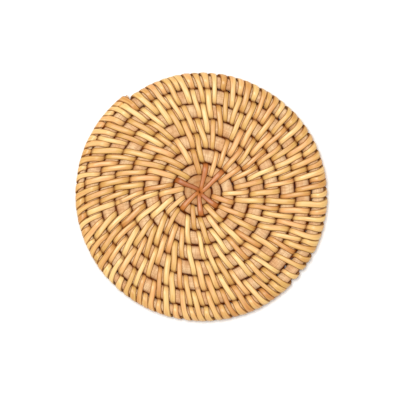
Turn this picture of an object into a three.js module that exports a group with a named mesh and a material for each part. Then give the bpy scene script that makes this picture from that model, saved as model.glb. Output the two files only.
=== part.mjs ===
// A small round mat of coiled rattan: one long round core wound flat in a spiral, every row of it lashed to
// the row inside it with flat rattan cane.
//
// The mat lies flat, its underside at z = 0, the middle of its outline on the z axis. Seen from above the
// core winds clockwise from the middle outwards. A place along the core is given in turns of the spiral, so
// a place one turn back lies on the row just inside. Lengths are in millimetres.

import * as THREE from "three";

// The driving sizes.
const OVERALL_DIAMETER = 100;
const CORE_DIAMETER = 4.7;
const CANE_WIDTH = 2;
const CANE_THICKNESS = 0.5;
const CLEARANCE = 0.1;
const CORE_SHOWING = 1.45;
const MIDDLE_HOLE_RADIUS = 1.8;
const CORE_START_RADIUS = 1.25;
const CORE_TIP_RADIUS = 0.45;
const CANE_LENGTHS = 9;
const RIM_CANE_LENGTHS = 2;
const END_TAPER_TURNS = 0.486;
const END_BEARING = THREE.MathUtils.degToRad(125);
const MEAN_LEAN = THREE.MathUtils.degToRad(14);
const LEAN_SWING = THREE.MathUtils.degToRad(6);
const LEAN_BEARING = THREE.MathUtils.degToRad(190);
const WANDER = 0.7;
const LEAN_WANDER = 0.05;
const SIDE_ROOM = 0.25;
const STAR_SLOPE = 0.06;
const START_OFF_CENTRE = [-0.6, 0.5];

// Sizes that follow from them.
const CORE_RADIUS = CORE_DIAMETER / 2;
const LAP = CLEARANCE + CANE_THICKNESS;
const ONE_LANE = CANE_THICKNESS + 2 * CLEARANCE;
const TWO_LANES = 2 * CANE_THICKNESS + 3 * CLEARANCE;
const MIDDLE_HEIGHT = CORE_RADIUS + LAP;
const STITCH_SPACING = 2 * (CANE_WIDTH + CLEARANCE) + CORE_SHOWING;
const BEND_ADVANCE = STITCH_SPACING / 2;
const LONGEST_BEND = 0.8 * STITCH_SPACING;
const STAR_CANE_WIDTH = 0.6 * CANE_WIDTH;

// Where things happen along the core, in turns.
const COIL_START = -0.35;
const STAR_ARM_PLACES = [1.449, 1.591, 1.758, 1.96, 2.113, 2.238];
const STAR_END = STAR_ARM_PLACES[STAR_ARM_PLACES.length - 1];
const STAR_START = STAR_ARM_PLACES[0];
const LANE_TURNS = 0.1;
const LANES_START = STAR_END - 1 - LANE_TURNS;
const LEAD_TURNS = 0.3;
const LAST_STITCH_SHORT = 0.006;
const FIRST_RIM_STITCH_LATE = 0.004;
const LAST_RIM_STITCH_SHORT = 0.06;
const STEPS_PER_TURN = 240;
const LEAST_TILT = 1e-4;

const TURN = 2 * Math.PI;
const EIGHTH = Math.PI / 8;

function ramp(x, knots) {
  if (x <= knots[0][0]) return knots[0][1];
  for (let i = 1; i < knots.length; i++) {
    const [x0, y0] = knots[i - 1];
    const [x1, y1] = knots[i];
    if (x < x1) return y0 + ((y1 - y0) * (x - x0)) / (x1 - x0);
  }
  return knots[knots.length - 1][1];
}

// A repeatable number from -1 to 1 for each seed.
function chance(seed) {
  const x = Math.sin(seed * 12.9898 + 4.1414) * 43758.5453;
  return 2 * (x - Math.floor(x)) - 1;
}

// The radius of the core, thin at the start, full from the fourth row, drawn out to a point at the end.
function makeCoreRadius(coilEnd) {
  const grown = [
    [COIL_START, CORE_TIP_RADIUS],
    [0, CORE_START_RADIUS],
    [1, 0.5 * CORE_RADIUS],
    [2, 0.7 * CORE_RADIUS],
    [3, 0.94 * CORE_RADIUS],
    [4, CORE_RADIUS],
  ];
  const drawnOut = [
    [coilEnd - END_TAPER_TURNS, CORE_RADIUS],
    [coilEnd, CORE_TIP_RADIUS],
  ];
  return (at) => Math.min(ramp(at, grown), ramp(at, drawnOut));
}

// The space between a row and the row inside it: room for the lashings that pass through there.
function rowGap(at) {
  return ramp(at, [
    [LANES_START, CLEARANCE],
    [LANES_START + LANE_TURNS, ONE_LANE],
    [STAR_START + 1 - 2 * LANE_TURNS, ONE_LANE],
    [STAR_START + 1 - LANE_TURNS, TWO_LANES],
  ]);
}

// The whole spiral: distance of the core's centreline from the middle, and length run, at any place on it.
function makeCoil(coilEnd) {
  const coreRadius = makeCoreRadius(coilEnd);
  const count = Math.ceil((coilEnd - COIL_START) * STEPS_PER_TURN) + 1;
  const rho = new Float64Array(count);
  const run = new Float64Array(count);
  const placeOf = (i) => COIL_START + i / STEPS_PER_TURN;
  for (let i = 0; i < count; i++) {
    const at = placeOf(i);
    let inside = MIDDLE_HOLE_RADIUS - CLEARANCE;
    if (i >= STEPS_PER_TURN) {
      inside = rho[i - STEPS_PER_TURN] + coreRadius(at - 1);
    } else {
      const lead = ramp(at - 1, [
        [COIL_START - LEAD_TURNS, 0],
        [COIL_START, 1],
      ]);
      inside += lead * (2 * CORE_TIP_RADIUS + CLEARANCE);
    }
    const crossed = ramp(at, [
      [LANES_START, 0],
      [LANES_START + LANE_TURNS, 1],
    ]);
    const bow = (crossed * LONGEST_BEND ** 2) / (8 * inside);
    rho[i] = inside + rowGap(at) + bow + coreRadius(at);
    if (i > 0) run[i] = run[i - 1] + (((rho[i] + rho[i - 1]) / 2) * TURN) / STEPS_PER_TURN;
  }
  const lookUp = (table, at) => {
    const x = (at - COIL_START) * STEPS_PER_TURN;
    const i = Math.max(0, Math.min(count - 2, Math.floor(x)));
    return table[i] + (table[i + 1] - table[i]) * (x - i);
  };
  return {
    end: coilEnd,
    coreRadius,
    rhoAt: (at) => lookUp(rho, at),
    runAt: (at) => lookUp(run, at),
    bearingAt: (at) => END_BEARING + TURN * (coilEnd - at),
    placeAtRun(length) {
      let low = 0;
      let high = count - 1;
      while (high - low > 1) {
        const half = (low + high) >> 1;
        if (run[half] > length) high = half;
        else low = half;
      }
      return placeOf(low) + (length - run[low]) / (run[high] - run[low]) / STEPS_PER_TURN;
    },
  };
}

// How far across the lashed mat is, as the mean of its extents along x and y.
function acrossOf(coil) {
  const low = [Infinity, Infinity];
  const high = [-Infinity, -Infinity];
  for (let i = 0; i <= STEPS_PER_TURN; i++) {
    const at = coil.end - 1 + i / STEPS_PER_TURN;
    const reach = coil.rhoAt(at) + coil.coreRadius(at) + LAP;
    const point = [reach * Math.cos(coil.bearingAt(at)), reach * Math.sin(coil.bearingAt(at))];
    for (const axis of [0, 1]) {
      low[axis] = Math.min(low[axis], point[axis]);
      high[axis] = Math.max(high[axis], point[axis]);
    }
  }
  return (high[0] - low[0] + high[1] - low[1]) / 2;
}

// The number of turns that makes the mat measure its overall diameter.
function coilForDiameter(diameter) {
  let low = 4;
  let high = 30;
  for (let i = 0; i < 30; i++) {
    const half = (low + high) / 2;
    if (acrossOf(makeCoil(half)) > diameter) high = half;
    else low = half;
  }
  return makeCoil((low + high) / 2);
}

// The slant of a stitch against the spoke it lies on, as a slope. It swings slowly round the mat.
function slopeAt(coil, at) {
  return Math.tan(MEAN_LEAN + LEAN_SWING * Math.cos(coil.bearingAt(at) - LEAN_BEARING));
}

// Stitches in working order. Each passes over its own row (outer) and over the row inside (inner).
function layStitches(coil) {
  const stitches = STAR_ARM_PLACES.map((at) => {
    return { star: true, slope: STAR_SLOPE, outer: at, inner: at - 1 };
  });
  const nextAfter = (at) => at + STITCH_SPACING / (TURN * coil.rhoAt(at - 1));
  for (let at = nextAfter(STAR_END); at < coil.end - LAST_STITCH_SHORT; at = nextAfter(at)) {
    const slope = slopeAt(coil, at);
    stitches.push({ star: false, slope, outer: at, inner: at - 1 + leanTurns(coil, at, slope) });
  }
  return stitches;
}

// A short stitch round the rim row alone, between each two long stitches of that row.
function layRimStitches(coil, stitches) {
  const short = [];
  for (let i = 0; i + 1 < stitches.length; i++) {
    const middle = (stitches[i].outer + stitches[i + 1].outer) / 2;
    const early = middle < coil.end - 1 + FIRST_RIM_STITCH_LATE;
    if (!early && middle < coil.end - LAST_RIM_STITCH_SHORT) {
      short.push({ star: false, short: true, slope: slopeAt(coil, middle), outer: middle });
    }
  }
  return short;
}

// How far, in turns, the top of a stitch runs on along the rows between its outer and its inner corner.
function leanTurns(coil, at, slope) {
  const rhoOuter = coil.rhoAt(at);
  const rhoInner = coil.rhoAt(at - 1);
  const corners = (coil.coreRadius(at) + coil.coreRadius(at - 1) + 2 * CLEARANCE) * Math.tan(EIGHTH);
  return (slope * (rhoOuter - rhoInner + corners)) / (TURN * (rhoOuter + rhoInner) * 0.5);
}

// Canes lying side by side over one row are nudged along it until none lies on another, while each stitch
// is drawn back towards its own lean. A stitch bends down beyond its corner, so an outer pass followed by
// an inner pass needs more room than the other way about.
function settle(coil, stitches, short) {
  const passes = [];
  const pairs = [];
  stitches.forEach((s, i) => {
    const wander = s.star ? 0 : WANDER * chance(i);
    const outer = { stitch: s, key: "outer", home: coil.runAt(s.outer) + wander };
    passes.push(outer);
    if (s.star) return;
    const inner = { stitch: s, key: "inner", home: coil.runAt(s.inner) + wander };
    passes.push(inner);
    pairs.push({ outer, inner, slope: s.slope + LEAN_WANDER * chance(i + 500) });
  });
  short.forEach((s) => passes.push({ stitch: s, key: "outer", home: coil.runAt(s.outer) }));
  for (const p of passes) p.run = p.home;
  passes.sort((a, b) => a.home - b.home);
  const roomBetween = (here, next) => {
    const at = coil.placeAtRun((here.run + next.run) / 2);
    const slope = (here.stitch.slope + next.stitch.slope) / 2;
    const corner = (coil.coreRadius(at) + CLEARANCE) * Math.tan(EIGHTH);
    const order = (next.key === "inner" ? 1 : 0) - (here.key === "inner" ? 1 : 0);
    const difference = Math.abs(next.stitch.slope - here.stitch.slope) * 1.8 * corner;
    const across = CANE_WIDTH / Math.cos(Math.atan(slope));
    const crowding = coil.rhoAt(at) / (coil.rhoAt(at) - 1.7 * corner);
    const straighter = order < 0 ? (0.4 * corner * BEND_ADVANCE) / coil.rhoAt(at - 1) : 0;
    const alike = order === 0 ? 2 * CLEARANCE : 0;
    return (across + SIDE_ROOM + difference + order * 2 * corner * slope + straighter + alike) * crowding;
  };
  for (let round = 0; round < 10; round++) {
    const room = passes.slice(1).map((next, i) => roomBetween(passes[i], next));
    const drawnBack = round < 6 ? pairs : [];
    for (let sweep = 0; sweep < 200; sweep++) {
      for (const { outer, inner, slope } of drawnBack) {
        const at = coil.placeAtRun(outer.run);
        const off = inner.run - coil.runAt(at - 1 + leanTurns(coil, at, slope));
        inner.run -= 0.25 * off;
        outer.run += 0.25 * off;
        outer.run += 0.02 * (outer.home - outer.run);
      }
      for (let i = 0; i + 1 < passes.length; i++) {
        const lack = room[i] - (passes[i + 1].run - passes[i].run);
        if (lack > 0) {
          passes[i].run -= lack / 2;
          passes[i + 1].run += lack / 2;
        }
      }
    }
    for (const p of passes) p.stitch[p.key] = coil.placeAtRun(p.run);
    for (const s of stitches) {
      if (!s.star) s.slope = (s.inner + 1 - s.outer) / leanTurns(coil, s.outer, 1);
    }
  }
  for (const s of short) {
    const corner = (coil.coreRadius(s.outer) + CLEARANCE) * Math.tan(EIGHTH);
    s.inner = s.outer + (2 * corner * s.slope) / (TURN * coil.rhoAt(s.outer));
  }
}

// The corners of a tight loop round two round sections, each as a ray from the centre of the section it goes
// round: from the inner section's underside out under the outer one, up round it, back over the top and
// down into the gap. Each corner lies between two flats, given by the directions they face. Where the loop
// slopes, the thicker section keeps level flats at its top and underside as well.
function loopCorners(outerRadius, innerRadius, apart) {
  const tilt = apart > 0 ? Math.asin((innerRadius - outerRadius) / apart) : 0;
  const up = Math.PI / 2;
  const sweep = (from, to) => [0, 1, 2, 3, 4].map((i) => from + ((to - from) * i) / 4);
  const between = (inner, radius, faces) =>
    faces.slice(1).map((face, i) => {
      return { inner, radius, angle: (face + faces[i]) / 2, half: (face - faces[i]) / 2 };
    });
  const innerThicker = tilt > LEAST_TILT;
  const outerThicker = tilt < -LEAST_TILT;
  const outerFaces = outerThicker
    ? [tilt - up, ...sweep(-up, up), up - tilt]
    : sweep(tilt - up, up - tilt);
  const innerFaces = innerThicker
    ? [up - tilt, ...sweep(up, 3 * up), 3 * up + tilt]
    : sweep(up - tilt, 3 * up + tilt);
  const outer = between(false, outerRadius, outerFaces);
  const inner = between(true, innerRadius, innerFaces);
  const underneath = inner.splice(innerThicker ? 4 : 3);
  return { innerThicker, outerThicker, corners: [...underneath, ...outer, ...inner] };
}

// The cane's four edges at each corner of one stitch, in working order. The underside pass of a stitch is
// its top pass moved back along the rows, so the two faces of the mat are laid alike.
function stitchSections(coil, stitch, following) {
  const rhoOuter = coil.rhoAt(stitch.outer);
  const rhoInner = stitch.star ? MIDDLE_HOLE_RADIUS + CORE_START_RADIUS : coil.rhoAt(stitch.inner);
  const outerRadius = coil.coreRadius(stitch.outer) + CLEARANCE;
  const innerRadius = (stitch.star ? CORE_START_RADIUS : coil.coreRadius(stitch.inner)) + CLEARANCE;
  const apart = stitch.short ? 0 : rhoOuter - rhoInner;
  const { corners, innerThicker, outerThicker } = loopCorners(outerRadius, innerRadius, apart);
  const outerTurn = TURN * rhoOuter;
  const innerTurn = stitch.star ? outerTurn : TURN * rhoInner;
  const back = BEND_ADVANCE / outerTurn;
  const innerBack = BEND_ADVANCE / innerTurn;
  const facet = (stitch.slope * outerRadius * (1 - Math.tan(EIGHTH))) / outerTurn;
  const innerFacet = (stitch.slope * innerRadius * (1 - Math.tan(EIGHTH))) / innerTurn;
  const level = (stitch.slope * outerRadius * Math.tan(EIGHTH)) / outerTurn;
  const innerLevel = (stitch.slope * innerRadius * Math.tan(EIGHTH)) / innerTurn;
  const onRim = stitch.outer > coil.end - 1;
  const { outer, inner } = stitch;
  const ahead = following.inner - innerBack;
  const places = [
    inner - innerBack,
    innerThicker && inner - innerBack - innerLevel,
    outerThicker && outer - back + level,
    outer - back,
    onRim ? outer - (2 / 3) * back : outer - back - facet,
    onRim ? outer - (1 / 3) * back : outer - facet,
    outer,
    outerThicker && outer + level,
    innerThicker && inner - innerLevel,
    inner,
    stitch.star ? inner + 0.35 * (ahead - inner) : inner + innerFacet,
    stitch.star ? inner + 0.65 * (ahead - inner) : ahead + innerFacet,
  ].filter((place) => place !== false);
  const across = CANE_WIDTH / Math.cos(Math.atan(stitch.slope));
  return corners.map((corner, i) => {
    const rho = corner.inner && stitch.star ? rhoInner : coil.rhoAt(places[i]);
    const inHole = stitch.star && i > corners.length - 3;
    const width = inHole ? STAR_CANE_WIDTH : across;
    const near = corner.radius / Math.cos(corner.half);
    const far = (corner.radius + CANE_THICKNESS) / Math.cos(corner.half);
    const halfAngle = width / 2 / (rho + ((near + far) / 2) * Math.cos(corner.angle));
    const bearing = coil.bearingAt(places[i]);
    const point = (reach, side) => {
      const out = rho + reach * Math.cos(corner.angle);
      const turned = bearing - side * halfAngle;
      const height = MIDDLE_HEIGHT + reach * Math.sin(corner.angle);
      return [out * Math.cos(turned), out * Math.sin(turned), height];
    };
    return [point(near, -1), point(near, 1), point(far, 1), point(far, -1)];
  });
}

// One length of cane: the stitches from first up to, not including, next.
function caneSections(coil, stitches, first, next) {
  const sections = [];
  for (let i = first; i < next; i++) {
    const following = stitches[i + 1] ?? carryOn(stitches);
    sections.push(...stitchSections(coil, stitches[i], following));
  }
  return sections;
}

// A stitch one step beyond the last, to say which way the last one heads.
function carryOn(stitches) {
  const last = stitches[stitches.length - 1];
  const before = stitches[stitches.length - 2];
  return { ...last, outer: 2 * last.outer - before.outer, inner: 2 * last.inner - before.inner };
}

// A closed solid from a run of four-cornered sections.
function solidThrough(sections) {
  const sides = sections[0].length;
  const points = sections.flat();
  const index = [];
  const last = (sections.length - 1) * sides;
  for (let k = 1; k + 1 < sides; k++) {
    index.push(0, k + 1, k);
    index.push(last, last + k, last + k + 1);
  }
  for (let i = 0; i + 1 < sections.length; i++) {
    for (let k = 0; k < sides; k++) {
      const a = i * sides + k;
      const b = i * sides + ((k + 1) % sides);
      index.push(a, b, a + sides);
      index.push(b, b + sides, a + sides);
    }
  }
  let sixfold = 0;
  for (let i = 0; i < index.length; i += 3) {
    const [p, q, r] = [points[index[i]], points[index[i + 1]], points[index[i + 2]]];
    sixfold += p[0] * (q[1] * r[2] - q[2] * r[1]) - p[1] * (q[0] * r[2] - q[2] * r[0]);
    sixfold += p[2] * (q[0] * r[1] - q[1] * r[0]);
  }
  if (sixfold < 0) {
    for (let i = 0; i < index.length; i += 3) {
      [index[i + 1], index[i + 2]] = [index[i + 2], index[i + 1]];
    }
  }
  return { points, index };
}

// The core: an eight-sided rod along the spiral, in steps short enough to stay within its clearance.
function coreSections(coil, lastStitch) {
  const places = [];
  const bow = 0.7 * CLEARANCE;
  const tip = lastStitch.outer + CANE_WIDTH / (TURN * coil.rhoAt(lastStitch.outer));
  let at = COIL_START;
  while (at < tip) {
    places.push(at);
    at += Math.sqrt((2 * bow) / coil.rhoAt(at)) / Math.PI;
  }
  places.push(tip);
  return places.map((place) => {
    const ring = [];
    for (let k = 0; k < 8; k++) {
      const angle = EIGHTH + (k * Math.PI) / 4;
      const out = coil.rhoAt(place) + coil.coreRadius(place) * Math.cos(angle);
      const height = MIDDLE_HEIGHT + coil.coreRadius(place) * Math.sin(angle);
      ring.push([out * Math.cos(coil.bearingAt(place)), out * Math.sin(coil.bearingAt(place)), height]);
    }
    return ring;
  });
}

// Wound by hand, the coil starts a little off the middle of the finished mat. The shift fades out at the rim.
function offCentre([x, y, z]) {
  const share = 1 - (4 * (x * x + y * y)) / OVERALL_DIAMETER ** 2;
  return [x + share * START_OFF_CENTRE[0], y + share * START_OFF_CENTRE[1], z];
}

const coil = coilForDiameter(OVERALL_DIAMETER);
const stitches = layStitches(coil);
const rimStitches = layRimStitches(coil, stitches);
settle(coil, stitches, rimStitches);

const lastStitch = stitches[stitches.length - 1];
const pieces = [
  { name: "core_coil", colour: 0xd9ae7d, ...solidThrough(coreSections(coil, lastStitch)) },
];

const starCount = stitches.filter((s) => s.star).length;
pieces.push({
  name: "star_lashing",
  colour: 0xc98a50,
  ...solidThrough(caneSections(coil, stitches, 0, starCount)),
});

for (let i = 0; i < CANE_LENGTHS; i++) {
  const share = (stitches.length - starCount) / CANE_LENGTHS;
  const first = starCount + Math.round(i * share);
  const next = starCount + Math.round((i + 1) * share);
  pieces.push({
    name: `lashing_${i + 1}`,
    colour: 0xe3bd7f,
    ...solidThrough(caneSections(coil, stitches, first, next)),
  });
}

for (let i = 0; i < RIM_CANE_LENGTHS; i++) {
  const first = Math.round((i * rimStitches.length) / RIM_CANE_LENGTHS);
  const next = Math.round(((i + 1) * rimStitches.length) / RIM_CANE_LENGTHS);
  pieces.push({
    name: `rim_lashing_${i + 1}`,
    colour: 0xe6c48a,
    ...solidThrough(caneSections(coil, rimStitches, first, next)),
  });
}

// The middle of the outline goes to the z axis.
const box = new THREE.Box3();
for (const piece of pieces) {
  piece.points = piece.points.map(offCentre);
  for (const p of piece.points) box.expandByPoint(new THREE.Vector3(...p));
}
const middle = box.getCenter(new THREE.Vector3());

const mat = new THREE.Group();
mat.name = "rattan_mat";
for (const piece of pieces) {
  const flat = piece.points.flatMap(([x, y, z]) => [x - middle.x, y - middle.y, z]);
  const geometry = new THREE.BufferGeometry();
  geometry.setAttribute("position", new THREE.Float32BufferAttribute(flat, 3));
  geometry.setIndex(piece.index);
  geometry.computeVertexNormals();
  const material = new THREE.MeshStandardMaterial({ color: piece.colour, roughness: 0.6 });
  const mesh = new THREE.Mesh(geometry, material);
  mesh.name = piece.name;
  mat.add(mesh);
}

export default mat;
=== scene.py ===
"""A small round mat of coiled rattan, seen from straight above.

One long round rattan core is wound in a flat spiral, and every row of it is lashed to the row inside it with
strips of rattan peel. A place along the core is given in turns of the spiral, so a place one turn back lies
on the row just inside. Lengths are in millimetres until they go into a mesh, which is in metres.
"""

import math

import bmesh
import bpy
import numpy as np
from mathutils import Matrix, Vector


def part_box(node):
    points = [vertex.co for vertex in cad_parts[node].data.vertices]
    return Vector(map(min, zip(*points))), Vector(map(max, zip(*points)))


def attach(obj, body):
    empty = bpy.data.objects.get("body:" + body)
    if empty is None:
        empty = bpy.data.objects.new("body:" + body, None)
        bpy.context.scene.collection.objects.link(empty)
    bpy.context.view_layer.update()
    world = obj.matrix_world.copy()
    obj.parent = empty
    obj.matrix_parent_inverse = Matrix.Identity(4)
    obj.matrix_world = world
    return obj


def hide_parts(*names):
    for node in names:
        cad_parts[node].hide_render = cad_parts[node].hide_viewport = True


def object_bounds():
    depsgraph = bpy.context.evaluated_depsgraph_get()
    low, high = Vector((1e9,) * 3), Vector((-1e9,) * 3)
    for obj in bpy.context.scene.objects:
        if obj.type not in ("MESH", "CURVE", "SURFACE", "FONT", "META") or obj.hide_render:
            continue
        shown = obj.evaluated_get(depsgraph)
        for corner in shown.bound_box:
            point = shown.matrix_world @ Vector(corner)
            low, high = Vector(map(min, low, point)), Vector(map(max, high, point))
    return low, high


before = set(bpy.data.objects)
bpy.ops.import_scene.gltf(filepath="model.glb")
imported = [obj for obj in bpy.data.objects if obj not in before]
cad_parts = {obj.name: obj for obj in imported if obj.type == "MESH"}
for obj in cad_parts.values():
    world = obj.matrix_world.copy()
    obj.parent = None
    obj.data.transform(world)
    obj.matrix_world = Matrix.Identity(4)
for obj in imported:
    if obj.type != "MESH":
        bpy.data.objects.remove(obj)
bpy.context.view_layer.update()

MM = 0.001
TURN = 2 * math.pi
EIGHTH = math.pi / 8

# The sizes that drive the weave.
OVERALL_DIAMETER = 100.0
CORE_RADIUS = 2.35
CANE_WIDTH = 2.0
CANE_THICKNESS = 0.5
CLEARANCE = 0.1
CORE_SHOWING = 1.45
MIDDLE_HOLE_RADIUS = 1.8
CORE_START_RADIUS = 1.25
CORE_TIP_RADIUS = 0.45
CANE_LENGTHS = 9
RIM_CANE_LENGTHS = 2
END_TAPER_TURNS = 0.486
END_BEARING = math.radians(125)
MEAN_LEAN = math.radians(14)
LEAN_SWING = math.radians(6)
LEAN_BEARING = math.radians(190)
WANDER = 0.7
LEAN_WANDER = 0.05
SIDE_ROOM = 0.25
STAR_SLOPE = 0.06
START_OFF_CENTRE = (-0.6, 0.5)

LAP = CLEARANCE + CANE_THICKNESS
ONE_LANE = CANE_THICKNESS + 2 * CLEARANCE
TWO_LANES = 2 * CANE_THICKNESS + 3 * CLEARANCE
MIDDLE_HEIGHT = CORE_RADIUS + LAP
STITCH_SPACING = 2 * (CANE_WIDTH + CLEARANCE) + CORE_SHOWING
BEND_ADVANCE = STITCH_SPACING / 2
LONGEST_BEND = 0.8 * STITCH_SPACING

COIL_START = -0.35
STAR_ARM_PLACES = (1.449, 1.591, 1.758, 1.96, 2.113, 2.238)
STAR_START = STAR_ARM_PLACES[0]
STAR_END = STAR_ARM_PLACES[-1]
LANE_TURNS = 0.1
LANES_START = STAR_END - 1 - LANE_TURNS
LEAD_TURNS = 0.3
LAST_STITCH_SHORT = 0.006
FIRST_RIM_STITCH_LATE = 0.004
LAST_RIM_STITCH_SHORT = 0.014
BARE_SIDE_TURNS = 1.05
RIM_FADE_TURNS = 0.03
STEPS_PER_TURN = 240

# Finding the number of turns by halving.
FEWEST_TURNS = 8.0
MOST_TURNS = 10.0
HALVINGS = 26

# Settling the strips side by side. The first three widen the room between two strips: where their slants
# differ, where the row inside them is crowded, and where one lies straighter than the other.
SLANT_ROOM = 1.8
CROWDED_CORNERS = 1.7
STRAIGHTER_SHARE = 0.4
SETTLE_ROUNDS = 10
ROUNDS_THAT_DRAW_PAIRS = 6
SWEEPS = 200
PAIR_PULL = 0.25
HOME_PULL = 0.02

# The lashing pulls tight: the finished core is fuller than the room kept for it, the peel thinner, and the
# whole mat a little drawn in.
CORE_FULLNESS = 0.22
THIN_CORE_FULLNESS = 0.14
RIM_CORE_LEANER = 0.4
CORE_SPREAD = 0.42
DRAWN_IN = np.array([0.985, 0.985, 1.0])
PEEL_WIDTH = 2.05
PEEL_THICKNESS = 0.4
PEEL_CROWN = 0.17
BEDDING = 0.01

# How round the peel's edges are: 1 is an ellipse, 0 a box.
PEEL_EDGE = 0.48

# What the hand leaves uneven. The widths are shares of the peel's width, the rest is in millimetres.
WIDTH_SPREAD = 0.14
WIDER_OUTSIDE = 1.1
NARROWER_INSIDE = 0.78
RIM_SWELL = 0.3
UNEVEN = 0.2
SWAY = 0.17
SWAY_LENGTH = 5.5


def ramp(x, knots):
    """The value at x of a line through knots."""
    xs, ys = zip(*knots)
    return float(np.interp(x, xs, ys))


def chance(seed):
    """A repeatable number from -1 to 1 for each seed."""
    x = math.sin(seed * 12.9898 + 4.1414) * 43758.5453
    return 2 * (x - math.floor(x)) - 1


class Coil:
    """The spiral of the core's centreline, ending at a number of turns."""

    def __init__(self, end):
        self.end = end
        self.count = math.ceil((end - COIL_START) * STEPS_PER_TURN) + 1
        self.rho = np.zeros(self.count)
        self.run = np.zeros(self.count)
        for i in range(self.count):
            at = COIL_START + i / STEPS_PER_TURN
            inside = MIDDLE_HOLE_RADIUS - CLEARANCE
            if i >= STEPS_PER_TURN:
                inside = self.rho[i - STEPS_PER_TURN] + self.core_radius(at - 1)
            else:
                lead = ramp(at - 1, [(COIL_START - LEAD_TURNS, 0), (COIL_START, 1)])
                inside += lead * (2 * CORE_TIP_RADIUS + CLEARANCE)
            gap = ramp(
                at,
                [
                    (LANES_START, CLEARANCE),
                    (LANES_START + LANE_TURNS, ONE_LANE),
                    (STAR_START + 1 - 2 * LANE_TURNS, ONE_LANE),
                    (STAR_START + 1 - LANE_TURNS, TWO_LANES),
                ],
            )
            crossed = ramp(at, [(LANES_START, 0), (LANES_START + LANE_TURNS, 1)])
            bow = crossed * LONGEST_BEND**2 / (8 * inside)
            self.rho[i] = inside + gap + bow + self.core_radius(at)
            if i > 0:
                mean = (self.rho[i] + self.rho[i - 1]) / 2
                self.run[i] = self.run[i - 1] + mean * TURN / STEPS_PER_TURN
        self.places = COIL_START + np.arange(self.count) / STEPS_PER_TURN

    def core_radius(self, at):
        """Thin at the start, full from the fourth row, drawn out to a point at the end."""
        grown = ramp(
            at,
            [
                (COIL_START, CORE_TIP_RADIUS),
                (0, CORE_START_RADIUS),
                (1, 0.5 * CORE_RADIUS),
                (2, 0.7 * CORE_RADIUS),
                (3, 0.94 * CORE_RADIUS),
                (4, CORE_RADIUS),
            ],
        )
        drawn_out = ramp(at, [(self.end - END_TAPER_TURNS, CORE_RADIUS), (self.end, CORE_TIP_RADIUS)])
        return min(grown, drawn_out)

    def look_up(self, table, at):
        x = (at - COIL_START) * STEPS_PER_TURN
        i = max(0, min(self.count - 2, math.floor(x)))
        return float(table[i] + (table[i + 1] - table[i]) * (x - i))

    def rho_at(self, at):
        return self.look_up(self.rho, at)

    def run_at(self, at):
        return self.look_up(self.run, at)

    def bearing_at(self, at):
        return END_BEARING + TURN * (self.end - at)

    def place_at_run(self, length):
        low = int(np.searchsorted(self.run, length, side="left")) - 1
        low = max(0, min(self.count - 2, low))
        share = (length - self.run[low]) / (self.run[low + 1] - self.run[low])
        return float(self.places[low] + share / STEPS_PER_TURN)


def across_of(coil):
    """How far across the lashed mat is, as the mean of its extents along x and y."""
    at = coil.end - 1 + np.arange(STEPS_PER_TURN + 1) / STEPS_PER_TURN
    reach = np.array([coil.rho_at(a) + coil.core_radius(a) + LAP for a in at])
    bearing = coil.bearing_at(at)
    return (np.ptp(reach * np.cos(bearing)) + np.ptp(reach * np.sin(bearing))) / 2


def coil_for_diameter(diameter):
    """The coil whose number of turns makes the mat measure its overall diameter."""
    low, high = FEWEST_TURNS, MOST_TURNS
    for _ in range(HALVINGS):
        half = (low + high) / 2
        if across_of(Coil(half)) > diameter:
            high = half
        else:
            low = half
    return Coil((low + high) / 2)


class Stitch:
    """A lashing stitch: the place where it crosses its own row, and the place on the row inside."""

    def __init__(self, outer, inner, slope, star=False, short=False):
        self.outer, self.inner, self.slope = outer, inner, slope
        self.star, self.short = star, short


def slope_at(coil, at):
    """The slant of a stitch against the spoke it lies on. It swings slowly round the mat."""
    return math.tan(MEAN_LEAN + LEAN_SWING * math.cos(coil.bearing_at(at) - LEAN_BEARING))


def lean_turns(coil, at, slope):
    """How far, in turns, the top of a stitch runs on along the rows."""
    outer, inner = coil.rho_at(at), coil.rho_at(at - 1)
    corners = (coil.core_radius(at) + coil.core_radius(at - 1) + 2 * CLEARANCE) * math.tan(EIGHTH)
    return slope * (outer - inner + corners) / (TURN * (outer + inner) * 0.5)


def lay_stitches(coil):
    """Stitches in working order, each over its own row and the row inside."""
    stitches = [Stitch(at, at - 1, STAR_SLOPE, star=True) for at in STAR_ARM_PLACES]

    def next_after(place):
        return place + STITCH_SPACING / (TURN * coil.rho_at(place - 1))

    at = next_after(STAR_END)
    while at < coil.end - LAST_STITCH_SHORT:
        slope = slope_at(coil, at)
        stitches.append(Stitch(at, at - 1 + lean_turns(coil, at, slope), slope))
        at = next_after(at)
    return stitches


def lay_rim_stitches(coil, stitches):
    """A short stitch round the rim row alone, between each two long stitches of that row."""
    short = []
    for here, following in zip(stitches, stitches[1:]):
        middle = (here.outer + following.outer) / 2
        if coil.end - 1 + FIRST_RIM_STITCH_LATE < middle < coil.end - LAST_RIM_STITCH_SHORT:
            short.append(Stitch(middle, 0.0, slope_at(coil, middle), short=True))
    return short


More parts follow.
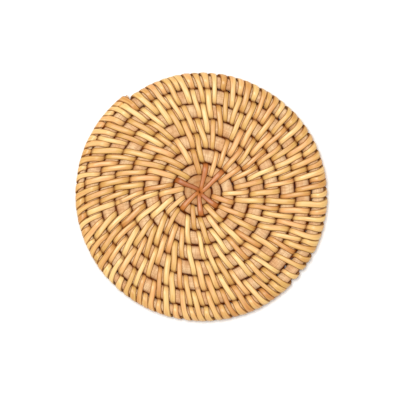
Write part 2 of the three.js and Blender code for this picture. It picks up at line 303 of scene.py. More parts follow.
def settle(coil, stitches, short):
    """Nudges the strips that lie side by side over one row until none lies on another."""
    passes, pairs = [], []
    for i, s in enumerate(stitches):
        wander = 0.0 if s.star else WANDER * chance(i)
        outer = {"stitch": s, "key": "outer", "home": coil.run_at(s.outer) + wander}
        passes.append(outer)
        if s.star:
            continue
        inner = {"stitch": s, "key": "inner", "home": coil.run_at(s.inner) + wander}
        passes.append(inner)
        pairs.append((outer, inner, s.slope + LEAN_WANDER * chance(i + 500)))
    passes += [{"stitch": s, "key": "outer", "home": coil.run_at(s.outer)} for s in short]
    for p in passes:
        p["run"] = p["home"]
    passes.sort(key=lambda p: p["home"])

    def room_between(here, following):
        at = coil.place_at_run((here["run"] + following["run"]) / 2)
        slope = (here["stitch"].slope + following["stitch"].slope) / 2
        corner = (coil.core_radius(at) + CLEARANCE) * math.tan(EIGHTH)
        order = int(following["key"] == "inner") - int(here["key"] == "inner")
        difference = abs(following["stitch"].slope - here["stitch"].slope) * SLANT_ROOM * corner
        across = CANE_WIDTH / math.cos(math.atan(slope))
        crowding = coil.rho_at(at) / (coil.rho_at(at) - CROWDED_CORNERS * corner)
        straighter = 0.0
        if order < 0:
            straighter = STRAIGHTER_SHARE * corner * BEND_ADVANCE / coil.rho_at(at - 1)
        alike = 2 * CLEARANCE if order == 0 else 0
        lean = order * 2 * corner * slope
        return (across + SIDE_ROOM + difference + lean + straighter + alike) * crowding

    for settle_round in range(SETTLE_ROUNDS):
        room = [room_between(a, b) for a, b in zip(passes, passes[1:])]
        drawn_back = pairs if settle_round < ROUNDS_THAT_DRAW_PAIRS else []
        for _ in range(SWEEPS):
            for outer, inner, slope in drawn_back:
                at = coil.place_at_run(outer["run"])
                off = inner["run"] - coil.run_at(at - 1 + lean_turns(coil, at, slope))
                inner["run"] -= PAIR_PULL * off
                outer["run"] += PAIR_PULL * off
                outer["run"] += HOME_PULL * (outer["home"] - outer["run"])
            for i, needed in enumerate(room):
                lack = needed - (passes[i + 1]["run"] - passes[i]["run"])
                if lack > 0:
                    passes[i]["run"] -= lack / 2
                    passes[i + 1]["run"] += lack / 2
        for p in passes:
            setattr(p["stitch"], p["key"], coil.place_at_run(p["run"]))
        for s in stitches:
            if not s.star:
                s.slope = (s.inner + 1 - s.outer) / lean_turns(coil, s.outer, 1)
    for s in short:
        corner = (coil.core_radius(s.outer) + CLEARANCE) * math.tan(EIGHTH)
        s.inner = s.outer + 2 * corner * s.slope / (TURN * coil.rho_at(s.outer))


def centre_rim_stitches(stitches, short):
    """Moves each short stitch to the middle of the gap between the long ones on either side."""
    for s in short:
        before = max(long.outer for long in stitches if long.outer < s.outer)
        after = min(long.outer for long in stitches if long.outer > s.outer)
        shift = (before + after) / 2 - s.outer
        s.outer += shift
        s.inner += shift


# ------------------------------------------------------------------------------------------------------
# The way that each strip of peel takes round the core.

ARC_STEPS = 11
LEAD_IN_STEPS = 5
STRAIGHT_STEP = 1.3
SMOOTHINGS = 2
TUCKED_END = math.pi + 0.3

# How wide a star strip is on its outer row, at its bend under the middle, and added on top of that bend.
STAR_WIDTHS = (1.15, 0.55, 0.3)
STAR_INNER_DRAWN_IN = 1.0
STAR_INNER_UNEVEN = 0.2
STAR_HEIGHT_UNEVEN = 0.15
INNER_UNEVEN = 1.4
SECOND_SWAY = 3.3


def on_row(coil, radius, place, angle, rho=None):
    """A point at an angle round the core's section, and the way it faces. The core is wider than high."""
    bearing = coil.bearing_at(place)
    rho = coil.rho_at(place) if rho is None else rho
    facing = (math.cos(angle) * math.cos(bearing), math.cos(angle) * math.sin(bearing), math.sin(angle))
    spread = CORE_SPREAD if radius > CORE_RADIUS else CORE_SPREAD * radius / CORE_RADIUS
    out = rho + (radius + spread * abs(math.cos(angle))) * math.cos(angle)
    point = (out * math.cos(bearing), out * math.sin(bearing), MIDDLE_HEIGHT + radius * math.sin(angle))
    return np.array(point), np.array(facing)


def carry_on(stitches):
    """A stitch one step beyond the last, to say which way the last one heads."""
    last, before = stitches[-1], stitches[-2]
    return Stitch(2 * last.outer - before.outer, 2 * last.inner - before.inner, last.slope, short=last.short)


def hidden_at(angle, on_rim):
    """0 on the upper and lower face, 1 where a strip stands between two rows."""
    return 0.0 if on_rim else 1 - abs(math.sin(angle))


def stitch_arcs(coil, number, stitch, following, first, last):
    """The bends of one stitch: up round its own row, then down round the inner row. A strip starts and
    ends out of sight between two rows."""
    laid = CORE_FULLNESS + BEDDING + PEEL_THICKNESS / 2
    rho_inner = None
    centre_inner = coil.rho_at(stitch.inner)
    inner_radius = coil.core_radius(stitch.inner) + laid
    if stitch.star:
        centre_inner = MIDDLE_HOLE_RADIUS + CORE_START_RADIUS - STAR_INNER_DRAWN_IN
        centre_inner += STAR_INNER_UNEVEN * chance(number + 40)
        rho_inner = centre_inner
        inner_radius = CORE_START_RADIUS + laid + STAR_HEIGHT_UNEVEN * chance(number + 60)
    centre_outer = coil.rho_at(stitch.outer)
    outer_radius = coil.core_radius(stitch.outer) + laid
    tilt = 0.0 if stitch.short else math.asin((inner_radius - outer_radius) / (centre_outer - centre_inner))
    outer_turn = TURN * centre_outer
    inner_turn = outer_turn if stitch.star else TURN * centre_inner
    back = BEND_ADVANCE / outer_turn
    inner_back = BEND_ADVANCE / inner_turn
    side = 1 - math.tan(EIGHTH)
    facet = stitch.slope * outer_radius * side / outer_turn
    inner_facet = stitch.slope * inner_radius * side / inner_turn
    level = stitch.slope * outer_radius * math.tan(EIGHTH) / outer_turn
    inner_level = stitch.slope * inner_radius * math.tan(EIGHTH) / inner_turn
    outer, inner = stitch.outer, stitch.inner
    if not stitch.star:
        outer += UNEVEN * chance(number * 11 + 3) / outer_turn
        inner += INNER_UNEVEN * UNEVEN * chance(number * 17 + 9) / inner_turn
    ahead = following.inner - inner_back
    up = math.pi / 2

    rise = [tilt - up, -3 * EIGHTH, -EIGHTH, EIGHTH, 3 * EIGHTH, up - tilt]
    if outer > coil.end - 1:
        middle_places = [outer - back * 2 / 3, outer - back / 3]
    else:
        middle_places = [outer - back - facet, outer - facet]
    rise_places = [outer - back + level, outer - back, *middle_places, outer, outer + level]
    fall = [up - tilt, 5 * EIGHTH, 7 * EIGHTH, 9 * EIGHTH, 11 * EIGHTH, 3 * up + tilt]
    if stitch.star:
        low_places = [inner + 0.35 * (ahead - inner), inner + 0.65 * (ahead - inner)]
    else:
        low_places = [inner + inner_facet, ahead + inner_facet]
    fall_places = [inner - inner_level, inner, *low_places, ahead, ahead - inner_level]

    broad = 1.0 + WIDTH_SPREAD * chance(number * 3 + 7)
    on_rim = outer > coil.end - BARE_SIDE_TURNS
    swell = RIM_SWELL if on_rim else 0.0
    arcs = []
    if first:
        lead_in = np.linspace(math.pi, 3 * up + tilt, LEAD_IN_STEPS)
        arcs.append(
            [
                (*on_row(coil, inner_radius, inner - inner_back, a, rho_inner), broad, hidden_at(a, False))
                for a in lead_in
            ]
        )
    # Each strip is widest where it turns over its own row and is drawn narrower into the row inside.
    outside, inside, more_on_top = STAR_WIDTHS
    if not stitch.star:
        outside, inside = WIDER_OUTSIDE * broad, NARROWER_INSIDE * broad
        more_on_top = outside - inside
    arcs.append(
        [
            (
                *on_row(coil, outer_radius, float(np.interp(a, rise, rise_places)), a),
                outside * (1 + swell * max(0.0, math.cos(a))),
                hidden_at(a, on_rim),
            )
            for a in np.linspace(tilt - up, up - tilt, ARC_STEPS)
        ]
    )
    arcs.append(
        [
            (
                *on_row(coil, inner_radius, float(np.interp(a, fall, fall_places)), a, rho_inner),
                inside + more_on_top * max(0.0, math.sin(a)),
                hidden_at(a, False),
            )
            for a in np.linspace(up - tilt, TUCKED_END if last else 3 * up + tilt, ARC_STEPS)
        ]
    )
    return arcs


def strip_way(coil, stitches, first, following_first):
    """The points, facings, widths, depths between rows and stitch numbers along one length of peel."""
    points, facings, widths, hidden, numbers = [], [], [], [], []
    for number in range(first, following_first):
        following = stitches[number + 1] if number + 1 < len(stitches) else carry_on(stitches)
        bends = stitch_arcs(
            coil, number, stitches[number], following, number == first, number == following_first - 1
        )
        for bend in bends:
            if points:
                start, end = points[-1], bend[0][0]
                steps = int(np.linalg.norm(end - start) / STRAIGHT_STEP)
                for k in range(1, steps):
                    share = k / steps
                    points.append(start + (end - start) * share)
                    facings.append(facings[-1])
                    widths.append(widths[-1] + (bend[0][2] - widths[-1]) * share)
                    hidden.append(0.0)
                    numbers.append(number)
                if steps < 1:
                    bend = bend[1:]
            for point, facing, width, depth in bend:
                points.append(point)
                facings.append(facing)
                widths.append(width)
                hidden.append(depth)
                numbers.append(number)
    points = np.array(points)
    smooth = points.copy()
    for _ in range(SMOOTHINGS):
        smooth[1:-1] = (smooth[:-2] + 2 * smooth[1:-1] + smooth[2:]) / 4
    facings = np.array(facings)
    shift = smooth - points
    # Two slow waves of different length make the strip sway from side to side.
    ahead = np.gradient(smooth, axis=0)
    ahead /= np.linalg.norm(ahead, axis=1, keepdims=True)
    walked = np.concatenate([[0], np.cumsum(np.linalg.norm(np.diff(smooth, axis=0), axis=1))])
    waves = walked * TURN / SWAY_LENGTH
    sway = SWAY * (np.sin(waves / 2 + first) + np.sin(waves / SECOND_SWAY)) / 2
    shift += np.cross(ahead, facings) * sway[:, None]
    # Rounding the way off must not draw it into the core, so only its shift along the rows is kept.
    shift -= facings * np.sum(shift * facings, axis=1, keepdims=True)
    return points + shift, facings, np.array(widths), np.array(hidden), np.array(numbers)


# ------------------------------------------------------------------------------------------------------
# Node trees.

SMOOTH = {"interpolation_type": "SMOOTHSTEP"}
PEEL_FACES = 16
CORE_FACES = 24


def output_of(node):
    """A node's first output that is in use."""
    return next(socket for socket in node.outputs if socket.enabled)


def add(tree, kind, inputs=None, **settings):
    """Adds a node with its settings, and sets or links its inputs. A node stands for its first output."""
    made = tree.nodes.new(kind)
    for name, value in settings.items():
        setattr(made, name, value)
    for key, value in (inputs or {}).items():
        if isinstance(value, bpy.types.Node):
            value = output_of(value)
        if isinstance(value, bpy.types.NodeSocket):
            tree.links.new(value, made.inputs[key])
        else:
            made.inputs[key].default_value = value
    return made


def geometry_tree(name, sizes):
    """An empty Geometry Nodes tree with a guide, named sizes and a material."""
    tree = bpy.data.node_groups.new(name, "GeometryNodeTree")
    tree.interface.new_socket("Guide", in_out="INPUT", socket_type="NodeSocketGeometry")
    for label in sizes:
        tree.interface.new_socket(label, in_out="INPUT", socket_type="NodeSocketFloat")
    tree.interface.new_socket("Material", in_out="INPUT", socket_type="NodeSocketMaterial")
    tree.interface.new_socket("Geometry", in_out="OUTPUT", socket_type="NodeSocketGeometry")
    given = add(tree, "NodeGroupInput")
    return tree, given


def shaped_profile(tree, ring, marks, outward, sideways):
    """The ring moved to its section, with the values that the material reads stored before it moves."""
    for label, value in marks.items():
        ring = add(
            tree,
            "GeometryNodeStoreNamedAttribute",
            {"Geometry": ring, "Name": label, "Value": value},
            data_type="FLOAT",
            domain="POINT",
        )
    where = add(tree, "ShaderNodeCombineXYZ", {"X": outward, "Y": sideways})
    return add(tree, "GeometryNodeSetPosition", {"Geometry": ring, "Position": where})


def sweep_along_guide(tree, given, profile):
    """Sweeps a profile along the guide, with the profile's top facing the way the guide says."""
    facing = add(tree, "GeometryNodeInputNamedAttribute", {"Name": "facing"}, data_type="FLOAT_VECTOR")
    size = add(tree, "GeometryNodeInputNamedAttribute", {"Name": "size"}, data_type="FLOAT")
    curve = add(tree, "GeometryNodeMeshToCurve", {"Mesh": given.outputs["Guide"]})
    turned = add(tree, "GeometryNodeSetCurveNormal", {"Curve": curve, "Normal": facing}, mode="FREE")
    section = {"Curve": turned, "Profile Curve": profile, "Scale": size, "Fill Caps": True}
    swept = add(tree, "GeometryNodeCurveToMesh", section)
    shaded = add(tree, "GeometryNodeSetShadeSmooth", {"Geometry": swept})
    real = add(tree, "GeometryNodeRealizeInstances", {"Geometry": shaded})
    finish = {"Geometry": real, "Material": given.outputs["Material"]}
    add(tree, "NodeGroupOutput", {"Geometry": add(tree, "GeometryNodeSetMaterial", finish)})


def peel_tree():
    """A strip of peel: flat below, crowned above, with rounded edges."""
    tree, given = geometry_tree("peel_strip", ["Width", "Thickness", "Crown", "Edge"])
    ring = add(tree, "GeometryNodeCurvePrimitiveCircle", {"Resolution": PEEL_FACES, "Radius": 1.0})
    axes = add(tree, "ShaderNodeSeparateXYZ", {0: add(tree, "GeometryNodeInputPosition")})
    squared = []
    for axis in ("X", "Y"):
        length = add(tree, "ShaderNodeMath", {0: axes.outputs[axis]}, operation="ABSOLUTE")
        length = add(tree, "ShaderNodeMath", {0: length, 1: given.outputs["Edge"]}, operation="POWER")
        side = add(tree, "ShaderNodeMath", {0: axes.outputs[axis]}, operation="SIGN")
        squared.append(add(tree, "ShaderNodeMath", {0: length, 1: side}, operation="MULTIPLY"))
    across, through = squared
    crown = add(tree, "ShaderNodeMath", {0: across, 1: across}, operation="MULTIPLY")
    crown = add(tree, "ShaderNodeMath", {0: 1.0, 1: crown}, operation="SUBTRACT")
    upper = add(tree, "ShaderNodeMath", {0: through, 1: 0.0}, operation="MAXIMUM")
    crown = add(tree, "ShaderNodeMath", {0: crown, 1: upper}, operation="MULTIPLY")
    crown = add(tree, "ShaderNodeMath", {0: crown, 1: given.outputs["Crown"]}, operation="MULTIPLY")
    half_width = add(tree, "ShaderNodeMath", {0: given.outputs["Width"], 1: 0.5}, operation="MULTIPLY")
    half_depth = add(tree, "ShaderNodeMath", {0: given.outputs["Thickness"], 1: 0.5}, operation="MULTIPLY")
    outward = add(tree, "ShaderNodeMath", {0: through, 1: half_depth}, operation="MULTIPLY")
    outward = add(tree, "ShaderNodeMath", {0: outward, 1: crown}, operation="ADD")
    sideways = add(tree, "ShaderNodeMath", {0: across, 1: half_width}, operation="MULTIPLY")
    profile = shaped_profile(tree, ring, {"across": across}, outward, sideways)
    sweep_along_guide(tree, given, profile)
    return tree


def core_tree():
    """The core, a little wider than it is high where the lashing has pressed it."""
    tree, given = geometry_tree("core_rod", ["Radius", "Spread"])
    radius = given.outputs["Radius"]
    ring = add(tree, "GeometryNodeCurvePrimitiveCircle", {"Resolution": CORE_FACES, "Radius": radius})
    axes = add(tree, "ShaderNodeSeparateXYZ", {0: add(tree, "GeometryNodeInputPosition")})
    wider = add(tree, "ShaderNodeMath", {0: given.outputs["Spread"], 1: radius}, operation="DIVIDE")
    wider = add(tree, "ShaderNodeMath", {0: 1.0, 1: wider}, operation="ADD")
    sideways = add(tree, "ShaderNodeMath", {0: axes.outputs["Y"], 1: wider}, operation="MULTIPLY")
    marks = {
        "upward": add(tree, "ShaderNodeMath", {0: axes.outputs["X"], 1: radius}, operation="DIVIDE"),
        "outward": add(tree, "ShaderNodeMath", {0: axes.outputs["Y"], 1: radius}, operation="DIVIDE"),
    }
    profile = shaped_profile(tree, ring, marks, axes.outputs["X"], sideways)
    sweep_along_guide(tree, given, profile)
    return tree


def off_centre(points):
    """Wound by hand, the coil starts a little off the middle of the mat. The shift fades out at the rim."""
    share = 1 - 4 * (points[:, 0] ** 2 + points[:, 1] ** 2) / OVERALL_DIAMETER**2
    shift = np.zeros_like(points)
    shift[:, 0] = share * START_OFF_CENTRE[0]
    shift[:, 1] = share * START_OFF_CENTRE[1]
    return points + shift


def guide_object(name, points, facings, sizes, tones):
    """A line of points, with what the tree and the material need to know at each."""
    mesh = bpy.data.meshes.new(name)
    places = (off_centre(points) * DRAWN_IN + middle_shift) * MM
    mesh.from_pydata([tuple(p) for p in places], [(i, i + 1) for i in range(len(places) - 1)], [])
    steps = np.linalg.norm(np.diff(points, axis=0), axis=1)
    columns = {"size": sizes, "along": np.concatenate([[0], np.cumsum(steps)]), **tones}
    for key, values in columns.items():
        mesh.attributes.new(key, "FLOAT", "POINT").data.foreach_set("value", np.asarray(values, "f"))
    facing = mesh.attributes.new("facing", "FLOAT_VECTOR", "POINT")
    facing.data.foreach_set("vector", np.asarray(facings, "f").ravel())
    made = bpy.data.objects.new(name, mesh)
    bpy.context.collection.objects.link(made)
    return made


def grown(guide, tree, sizes, material):
    """The plain mesh that a tree makes from a guide. The guide itself is removed."""
    modifier = guide.modifiers.new("shape", "NODES")
    modifier.node_group = tree
    sockets = {item.name: item.identifier for item in tree.interface.items_tree if item.in_out == "INPUT"}
    for label, value in sizes.items():
        modifier[sockets[label]] = value
    modifier[sockets["Material"]] = material
    seen = guide.evaluated_get(bpy.context.evaluated_depsgraph_get())
    mesh = bpy.data.meshes.new_from_object(seen)
    guide.modifiers.clear()
    name = guide.name
    old = guide.data
    bpy.data.objects.remove(guide)
    bpy.data.meshes.remove(old)
    mesh.name = name
    made = bpy.data.objects.new(name, mesh)
    bpy.context.collection.objects.link(made)
    work = bmesh.new()
    work.from_mesh(mesh)
    if work.calc_volume(signed=True) < 0:
        bmesh.ops.reverse_faces(work, faces=work.faces[:])
    work.to_mesh(mesh)
    work.free()
    return made


# ------------------------------------------------------------------------------------------------------
# Materials. Pattern sizes are in millimetres.

# Peel fibres are 0.23 mm wide, core fibres 0.3 mm, and chatter marks 0.6 mm apart.
PEEL_FIBRE_LENGTH = 10.0
PEEL_FIBRES_PER_HALF_WIDTH = 4.4
PEEL_PATCH_LENGTH = 6.25
LEAF_SCAR_SPACING = 410.0
LEAF_SCAR_HALF_WIDTHS = (0.246, 0.902)
CORE_FIBRE_LENGTH = 11.905
CORE_FIBRES_PER_RADIUS = 7.68
CHATTER_MARKS_PER_MM = 1.7
STAIN_SIZE = 6.25
STAINED_START = (15.0, 80.0)


def colour(text):
    """An sRGB hex colour as the linear RGBA that the shaders take."""
    parts = [int(text[i : i + 2], 16) / 255 for i in (1, 3, 5)]
    linear = [p / 12.92 if p <= 0.04045 else ((p + 0.055) / 1.055) ** 2.4 for p in parts]
    return (*linear, 1.0)


def new_material(name):
    made = bpy.data.materials.new(name)
    made.use_nodes = True
    tree = made.node_tree
    shader = next(n for n in tree.nodes if n.type == "BSDF_PRINCIPLED")
    return made, tree, shader


def readings(tree, labels):
    """The values stored on the piece under these labels."""
    return [add(tree, "ShaderNodeAttribute", attribute_name=label).outputs["Fac"] for label in labels]


def peel_material(name, pale, warm, edge_shade_and_scar, groove_shade):
    """Rattan peel: the outer skin of the cane, split and shaven to a flat strip. It keeps its own low
    gloss and fine lengthwise fibres, and its edges are painted browner than its crown, as painted shade."""
    made, tree, shader = new_material(name)
    along, across, hidden, tone, warmth = readings(tree, ("along", "across", "hidden", "tone", "warmth"))

    run = add(tree, "ShaderNodeMath", {0: along, 1: 1 / PEEL_FIBRE_LENGTH}, operation="MULTIPLY")
    beside = {0: across, 1: PEEL_FIBRES_PER_HALF_WIDTH}
    beside = add(tree, "ShaderNodeMath", beside, operation="MULTIPLY")
    apart = add(tree, "ShaderNodeMath", {0: tone, 1: 2.0}, operation="MULTIPLY")
    way = add(tree, "ShaderNodeCombineXYZ", {"X": run, "Y": beside, "Z": apart})
    fibres = add(tree, "ShaderNodeTexNoise", {"Vector": way, "Scale": 1.0, "Detail": 3.0})

    # Cloudy patches, each 3 to 10 mm long, where the skin weathered unevenly on the vine.
    run = add(tree, "ShaderNodeMath", {0: along, 1: 1 / PEEL_PATCH_LENGTH}, operation="MULTIPLY")
    apart = add(tree, "ShaderNodeMath", {0: tone, 1: 9.0}, operation="MULTIPLY")
    way = add(tree, "ShaderNodeCombineXYZ", {"X": run, "Y": across, "Z": apart})
    patches = add(tree, "ShaderNodeTexNoise", {"Vector": way, "Scale": 1.0, "Detail": 2.0})

    warmer = add(tree, "ShaderNodeMapRange", {0: warmth, 1: -1.0, 2: 2.0, 3: 0.05, 4: 1.0}, **SMOOTH)
    cloud = add(tree, "ShaderNodeMapRange", {0: patches, 1: 0.3, 2: 0.7, 3: -0.35, 4: 0.35}, **SMOOTH)
    share = add(tree, "ShaderNodeMath", {0: warmer, 1: cloud}, operation="ADD", use_clamp=True)
    skin = add(tree, "ShaderNodeMix", {0: share, 6: colour(pale), 7: colour(warm)}, data_type="RGBA")

    # Darker skin is browner, not greyer.
    darker = add(tree, "ShaderNodeMapRange", {0: tone, 1: -1.6, 2: 1.0, 3: 0.62, 4: 1.02}, **SMOOTH)
    streak = add(tree, "ShaderNodeMapRange", {0: fibres, 1: 0.35, 2: 0.65, 3: -0.13, 4: 0.07}, **SMOOTH)
    shade = add(tree, "ShaderNodeMath", {0: darker, 1: streak}, operation="ADD")
    redness = add(tree, "ShaderNodeMath", {0: shade, 1: 0.6}, operation="POWER")
    blueness = add(tree, "ShaderNodeMath", {0: shade, 1: 1.8}, operation="POWER")
    tint = add(tree, "ShaderNodeCombineColor", {0: redness, 1: shade, 2: blueness})
    skin = add(tree, "ShaderNodeMix", {0: 1.0, 6: skin, 7: tint}, data_type="RGBA", blend_type="MULTIPLY")

    # Painted shade: the strip darkens to the edge colour towards both its edges, where it rounds over.
    from_middle = add(tree, "ShaderNodeMath", {0: across}, operation="ABSOLUTE")
    painted_edge_shade = add(tree, "ShaderNodeMapRange", {0: from_middle, 1: 0.6, 2: 0.98, 3: 0.0, 4: 0.82}, **SMOOTH)
    skin = add(tree, "ShaderNodeMix", {0: painted_edge_shade, 6: skin, 7: colour(edge_shade_and_scar)}, data_type="RGBA")

    # A leaf scar is a soft brown ring across the strip.
    scar = add(tree, "ShaderNodeMath", {0: along, 1: 1 / LEAF_SCAR_SPACING}, operation="MULTIPLY")
    scar = add(tree, "ShaderNodeMath", {0: scar}, operation="FRACT")
    scar = add(tree, "ShaderNodeMath", {0: scar, 1: 0.5}, operation="SUBTRACT")
    scar = add(tree, "ShaderNodeMath", {0: scar}, operation="ABSOLUTE")
    full, none = (half_width / LEAF_SCAR_SPACING for half_width in LEAF_SCAR_HALF_WIDTHS)
    scar = add(tree, "ShaderNodeMapRange", {0: scar, 1: full, 2: none, 3: 0.4, 4: 0.0}, **SMOOTH)
    skin = add(tree, "ShaderNodeMix", {0: scar, 6: skin, 7: colour(edge_shade_and_scar)}, data_type="RGBA")

    # Painted shade: the strip turns to the groove colour where it passes down between two rows.
    painted_row_shade = add(tree, "ShaderNodeMapRange", {0: hidden, 1: 0.16, 2: 0.7}, **SMOOTH)
    skin = add(tree, "ShaderNodeMix", {0: painted_row_shade, 6: skin, 7: colour(groove_shade)}, data_type="RGBA")
    tree.links.new(output_of(skin), shader.inputs["Base Color"])

    # The gloss is cut between the rows and towards the strip edges, where shade is painted.
    dull = add(tree, "ShaderNodeMath", {0: hidden, 1: 0.6}, operation="MULTIPLY")
    rough = add(tree, "ShaderNodeMapRange", {0: patches, 1: 0.3, 2: 0.7, 3: 0.34, 4: 0.5}, **SMOOTH)
    rough = add(tree, "ShaderNodeMath", {0: rough, 1: dull}, operation="ADD", use_clamp=True)
    tree.links.new(output_of(rough), shader.inputs["Roughness"])
    row_gloss_cut = add(tree, "ShaderNodeMath", {0: hidden, 1: 0.8}, operation="MULTIPLY")
    edge_gloss_cut = add(tree, "ShaderNodeMath", {0: painted_edge_shade, 1: 0.5}, operation="MULTIPLY")
    shine = add(tree, "ShaderNodeMath", {0: 0.5, 1: row_gloss_cut}, operation="SUBTRACT", use_clamp=True)
    shine = add(tree, "ShaderNodeMath", {0: shine, 1: edge_gloss_cut}, operation="SUBTRACT", use_clamp=True)
    tree.links.new(output_of(shine), shader.inputs["Specular IOR Level"])
    grain = {"Strength": 0.5, "Distance": 0.03 * MM, "Height": fibres}
    tree.links.new(output_of(add(tree, "ShaderNodeBump", grain)), shader.inputs["Normal"])
    shader.inputs["IOR"].default_value = 1.48
    return made


def core_material():
    """Rattan core: the vine with its skin cut away, drawn through a round die. It is matt and paler than
    the peel, with open pores and fibres along its length."""
    made, tree, shader = new_material("drawn_rattan_core")
    along, height, outward, rim = readings(tree, ("along", "upward", "outward", "rim"))

    run = add(tree, "ShaderNodeMath", {0: along, 1: 1 / CORE_FIBRE_LENGTH}, operation="MULTIPLY")
    aside = add(tree, "ShaderNodeMath", {0: outward, 1: CORE_FIBRES_PER_RADIUS}, operation="MULTIPLY")
    above = add(tree, "ShaderNodeMath", {0: height, 1: CORE_FIBRES_PER_RADIUS}, operation="MULTIPLY")
    way = add(tree, "ShaderNodeCombineXYZ", {"X": run, "Y": aside, "Z": above})
    fibres = add(tree, "ShaderNodeTexNoise", {"Vector": way, "Scale": 1.0, "Detail": 3.0})

    place = add(tree, "ShaderNodeTexCoord").outputs["Object"]
    blotch = {"Vector": place, "Scale": 1 / (STAIN_SIZE * MM), "Detail": 2.0}
    stains = add(tree, "ShaderNodeTexNoise", blotch)
    stains = add(tree, "ShaderNodeMapRange", {0: stains, 1: 0.35, 2: 0.65}, **SMOOTH)
    tones = {0: stains, 6: colour("#f2cc9c"), 7: colour("#e3af7c")}
    wood = add(tree, "ShaderNodeMix", tones, data_type="RGBA")
    line = add(tree, "ShaderNodeMapRange", {0: fibres, 1: 0.42, 2: 0.62, 3: 0.0, 4: 0.34}, **SMOOTH)
    wood = add(tree, "ShaderNodeMix", {0: line, 6: wood, 7: colour("#b98350")}, data_type="RGBA")

    # The die leaves fine chatter marks across the core.
    run = add(tree, "ShaderNodeMath", {0: along, 1: CHATTER_MARKS_PER_MM}, operation="MULTIPLY")
    way = add(tree, "ShaderNodeCombineXYZ", {"X": run, "Y": outward})
    chatter = add(tree, "ShaderNodeTexNoise", {"Vector": way, "Scale": 1.0, "Detail": 1.0})
    mark = add(tree, "ShaderNodeMapRange", {0: chatter, 1: 0.44, 2: 0.6, 3: 0.0, 4: 0.36}, **SMOOTH)
    wood = add(tree, "ShaderNodeMix", {0: mark, 6: wood, 7: colour("#ad7c50")}, data_type="RGBA")

    # The core's start, in the middle of the mat, is stained brown.
    clean, far = STAINED_START
    brown = add(tree, "ShaderNodeMapRange", {0: along, 1: clean, 2: far, 3: 0.6, 4: 0.0}, **SMOOTH)
    wood = add(tree, "ShaderNodeMix", {0: brown, 6: wood, 7: colour("#a8692f")}, data_type="RGBA")

    # Painted shade: the core darkens on the sides that face another row, and less on the rim's open outer
    # side.
    level = add(tree, "ShaderNodeMath", {0: height}, operation="ABSOLUTE")
    painted_core_shade = add(tree, "ShaderNodeMath", {0: 1.0, 1: level}, operation="SUBTRACT")
    outer_side = add(tree, "ShaderNodeMath", {0: outward, 1: 0.0}, operation="GREATER_THAN")
    open_side = add(tree, "ShaderNodeMath", {0: outer_side, 1: rim}, operation="MULTIPLY")
    open_side = add(tree, "ShaderNodeMath", {0: open_side, 1: 0.4}, operation="MULTIPLY")
    painted_core_shade = add(tree, "ShaderNodeMath", {0: painted_core_shade, 1: open_side}, operation="SUBTRACT")
    painted_core_shade = add(tree, "ShaderNodeMapRange", {0: painted_core_shade, 1: 0.24, 2: 0.7}, **SMOOTH)
    wood = add(tree, "ShaderNodeMix", {0: painted_core_shade, 6: wood, 7: colour("#742f00")}, data_type="RGBA")
    tree.links.new(output_of(wood), shader.inputs["Base Color"])

    shader.inputs["Roughness"].default_value = 0.78
    shader.inputs["IOR"].default_value = 1.5
    shader.inputs["Specular IOR Level"].default_value = 0.12
    pores = {"Strength": 0.6, "Distance": 0.05 * MM, "Height": fibres}
    tree.links.new(output_of(add(tree, "ShaderNodeBump", pores)), shader.inputs["Normal"])
    return made


# ------------------------------------------------------------------------------------------------------
# The mat.

coil = coil_for_diameter(OVERALL_DIAMETER)
long_stitches = lay_stitches(coil)
rim_stitches = lay_rim_stitches(coil, long_stitches)
settle(coil, long_stitches, rim_stitches)
centre_rim_stitches(long_stitches, rim_stitches)

# The spiral is not quite round, so its centre is off the middle of the outline. The CAD core says how far.
core_low, core_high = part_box("core_coil")
tip = long_stitches[-1].outer + CANE_WIDTH / (TURN * coil.rho_at(long_stitches[-1].outer))
OUTLINE_STEPS = 1440
outline_places = np.linspace(tip - 1, tip, OUTLINE_STEPS + 1)
reach = np.array([coil.rho_at(a) + coil.core_radius(a) * math.cos(EIGHTH) for a in outline_places])
outline_bearings = coil.bearing_at(outline_places)
outline = off_centre(
    np.column_stack([reach * np.cos(outline_bearings), reach * np.sin(outline_bearings)])
)
outline_middle = (outline.min(axis=0) + outline.max(axis=0)) / 2
core_middle = (Vector(core_low) + Vector(core_high)) / 2 / MM
middle_shift = np.array([core_middle.x - outline_middle[0], core_middle.y - outline_middle[1], 0.0])

peel = peel_tree()
rod = core_tree()
# For each peel the last two colours are the painted edge shade, also used for leaf scars, and the painted
# shade between the rows.
pale_peel = peel_material("split_rattan_peel", "#f5cc84", "#eaac6c", "#7a3a00", "#6c2e00")
brown_peel = peel_material("weathered_rattan_peel", "#d9904a", "#c4763a", "#6a2e06", "#5e2700")
core_finish = core_material()

CORE_STEP = 1.1
LEAST_CORE_STEP_TURNS = 0.0035
LAST_CORE_STEP_TURNS = 0.01
core_places = [COIL_START]
while core_places[-1] < tip - LAST_CORE_STEP_TURNS:
    step = CORE_STEP / (TURN * coil.rho_at(core_places[-1]))
    core_places.append(core_places[-1] + max(LEAST_CORE_STEP_TURNS, step))
core_places = np.array([p for p in core_places if p < tip] + [tip])
core_points = np.array([on_row(coil, 0.0, p, math.pi / 2)[0] for p in core_places])
core_radii = np.array([coil.core_radius(p) for p in core_places])
on_rim_row = np.clip((core_places - coil.end + BARE_SIDE_TURNS) / RIM_FADE_TURNS, 0, 1)
fuller = CORE_FULLNESS + THIN_CORE_FULLNESS * (1 - core_radii / CORE_RADIUS)
fuller -= RIM_CORE_LEANER * on_rim_row * core_radii / CORE_RADIUS
core_sizes = (core_radii + fuller) / (CORE_RADIUS + CORE_FULLNESS)
upright = np.tile([0.0, 0.0, 1.0], (len(core_places), 1))
guide = guide_object("rattan_core", core_points, upright, core_sizes, {"rim": on_rim_row})
core_shape = {"Radius": (CORE_RADIUS + CORE_FULLNESS) * MM, "Spread": CORE_SPREAD * MM}
core = grown(guide, rod, core_shape, core_finish)
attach(core, "root")
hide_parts("core_coil")

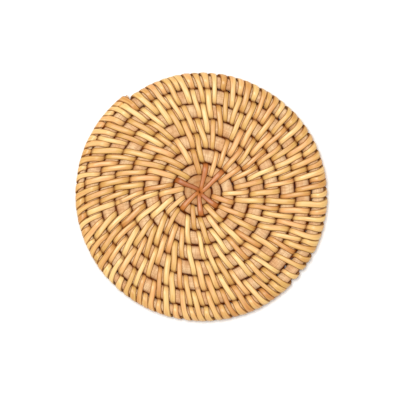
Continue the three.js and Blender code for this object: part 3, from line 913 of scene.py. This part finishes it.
# How much browner the peel is at a distance from the middle.
DARKER_MIDDLE = [(9.0, 1.0), (20.0, 0.0)]
DARKER_TONE = 0.7
WARMER_TONE = 0.9
peel_sizes = {
    "Width": PEEL_WIDTH * MM,
    "Thickness": PEEL_THICKNESS * MM,
    "Crown": PEEL_CROWN * MM,
    "Edge": PEEL_EDGE,
}


def strip(name, node, stitches, first, following_first, material):
    """One length of peel, in place of its CAD node."""
    points, facings, sizes, hidden, numbers = strip_way(coil, stitches, first, following_first)
    browner = {n: ramp(coil.rho_at(stitches[n].outer), DARKER_MIDDLE) for n in set(numbers.tolist())}
    tones = {
        "hidden": hidden,
        "tone": [chance(n * 7 + len(name)) - DARKER_TONE * browner[n] for n in numbers.tolist()],
        "warmth": [chance(n * 13 + 5) + WARMER_TONE * browner[n] for n in numbers.tolist()],
    }
    made = grown(guide_object(name, points, facings, sizes, tones), peel, peel_sizes, material)
    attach(made, "root")
    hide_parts(node)
    return made


star_count = sum(s.star for s in long_stitches)
strip("star_peel", "star_lashing", long_stitches, 0, star_count, brown_peel)
for i in range(CANE_LENGTHS):
    share = (len(long_stitches) - star_count) / CANE_LENGTHS
    first = star_count + math.floor(i * share + 0.5)
    following_first = star_count + math.floor((i + 1) * share + 0.5)
    strip(f"peel_strip_{i + 1}", f"lashing_{i + 1}", long_stitches, first, following_first, pale_peel)
for i in range(RIM_CANE_LENGTHS):
    share = len(rim_stitches) / RIM_CANE_LENGTHS
    first = math.floor(i * share + 0.5)
    following_first = math.floor((i + 1) * share + 0.5)
    node = f"rim_lashing_{i + 1}"
    strip(f"rim_strip_{i + 1}", node, rim_stitches, first, following_first, pale_peel)

# ------------------------------------------------------------------------------------------------------
# The floor, the light and the camera.

FRAME_WIDTH = 159.4
CAMERA_HEIGHT = 900.0
MAT_OFF_CENTRE = (0.48, 1.27)
MAT_TOP = 4.0
SENSOR_WIDTH = 36.0
FLOOR_HALF = 1.5
FLOOR_GAP = 0.02
SURROUND_STRENGTH = 0.46
LAMP_WIDTH = 0.55
LAMP_POWER = 10.4
LAMP_PLACE = (-0.14, 0.17, 1.1)

floor_mesh = bpy.data.meshes.new("floor")
corners = [(x * FLOOR_HALF, y * FLOOR_HALF, 0) for x, y in ((-1, -1), (1, -1), (1, 1), (-1, 1))]
floor_mesh.from_pydata(corners, [], [(0, 1, 2, 3)])
floor = bpy.data.objects.new("floor", floor_mesh)
floor.location.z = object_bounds()[0][2] - FLOOR_GAP * MM
bpy.context.collection.objects.link(floor)
floor_finish, floor_tree, floor_shader = new_material("white_paper_sweep")
floor_shader.inputs["Base Color"].default_value = colour("#fbfbfb")
floor_shader.inputs["Roughness"].default_value = 0.9
floor_shader.inputs["Specular IOR Level"].default_value = 0.0
floor_mesh.materials.append(floor_finish)

world = bpy.data.worlds.new("studio")
world.use_nodes = True
bpy.context.scene.world = world
surround = next(n for n in world.node_tree.nodes if n.type == "BACKGROUND")
surround.inputs["Color"].default_value = colour("#ffffff")
surround.inputs["Strength"].default_value = SURROUND_STRENGTH

lamp_data = bpy.data.lights.new("softbox", "AREA")
lamp_data.shape = "DISK"
lamp_data.size = LAMP_WIDTH
lamp_data.energy = LAMP_POWER
lamp = bpy.data.objects.new("softbox", lamp_data)
lamp.location = LAMP_PLACE
lamp.rotation_euler = Vector(lamp.location).to_track_quat("Z", "Y").to_euler()
bpy.context.collection.objects.link(lamp)

camera_data = bpy.data.cameras.new("camera")
camera_data.sensor_width = SENSOR_WIDTH
camera_data.lens = SENSOR_WIDTH * CAMERA_HEIGHT / FRAME_WIDTH
camera_data.clip_start = 0.01
camera = bpy.data.objects.new("camera", camera_data)
camera.location = (-MAT_OFF_CENTRE[0] * MM, -MAT_OFF_CENTRE[1] * MM, (CAMERA_HEIGHT + MAT_TOP) * MM)
bpy.context.collection.objects.link(camera)
bpy.context.scene.camera = camera
bpy.context.scene.view_settings.view_transform = "Standard"
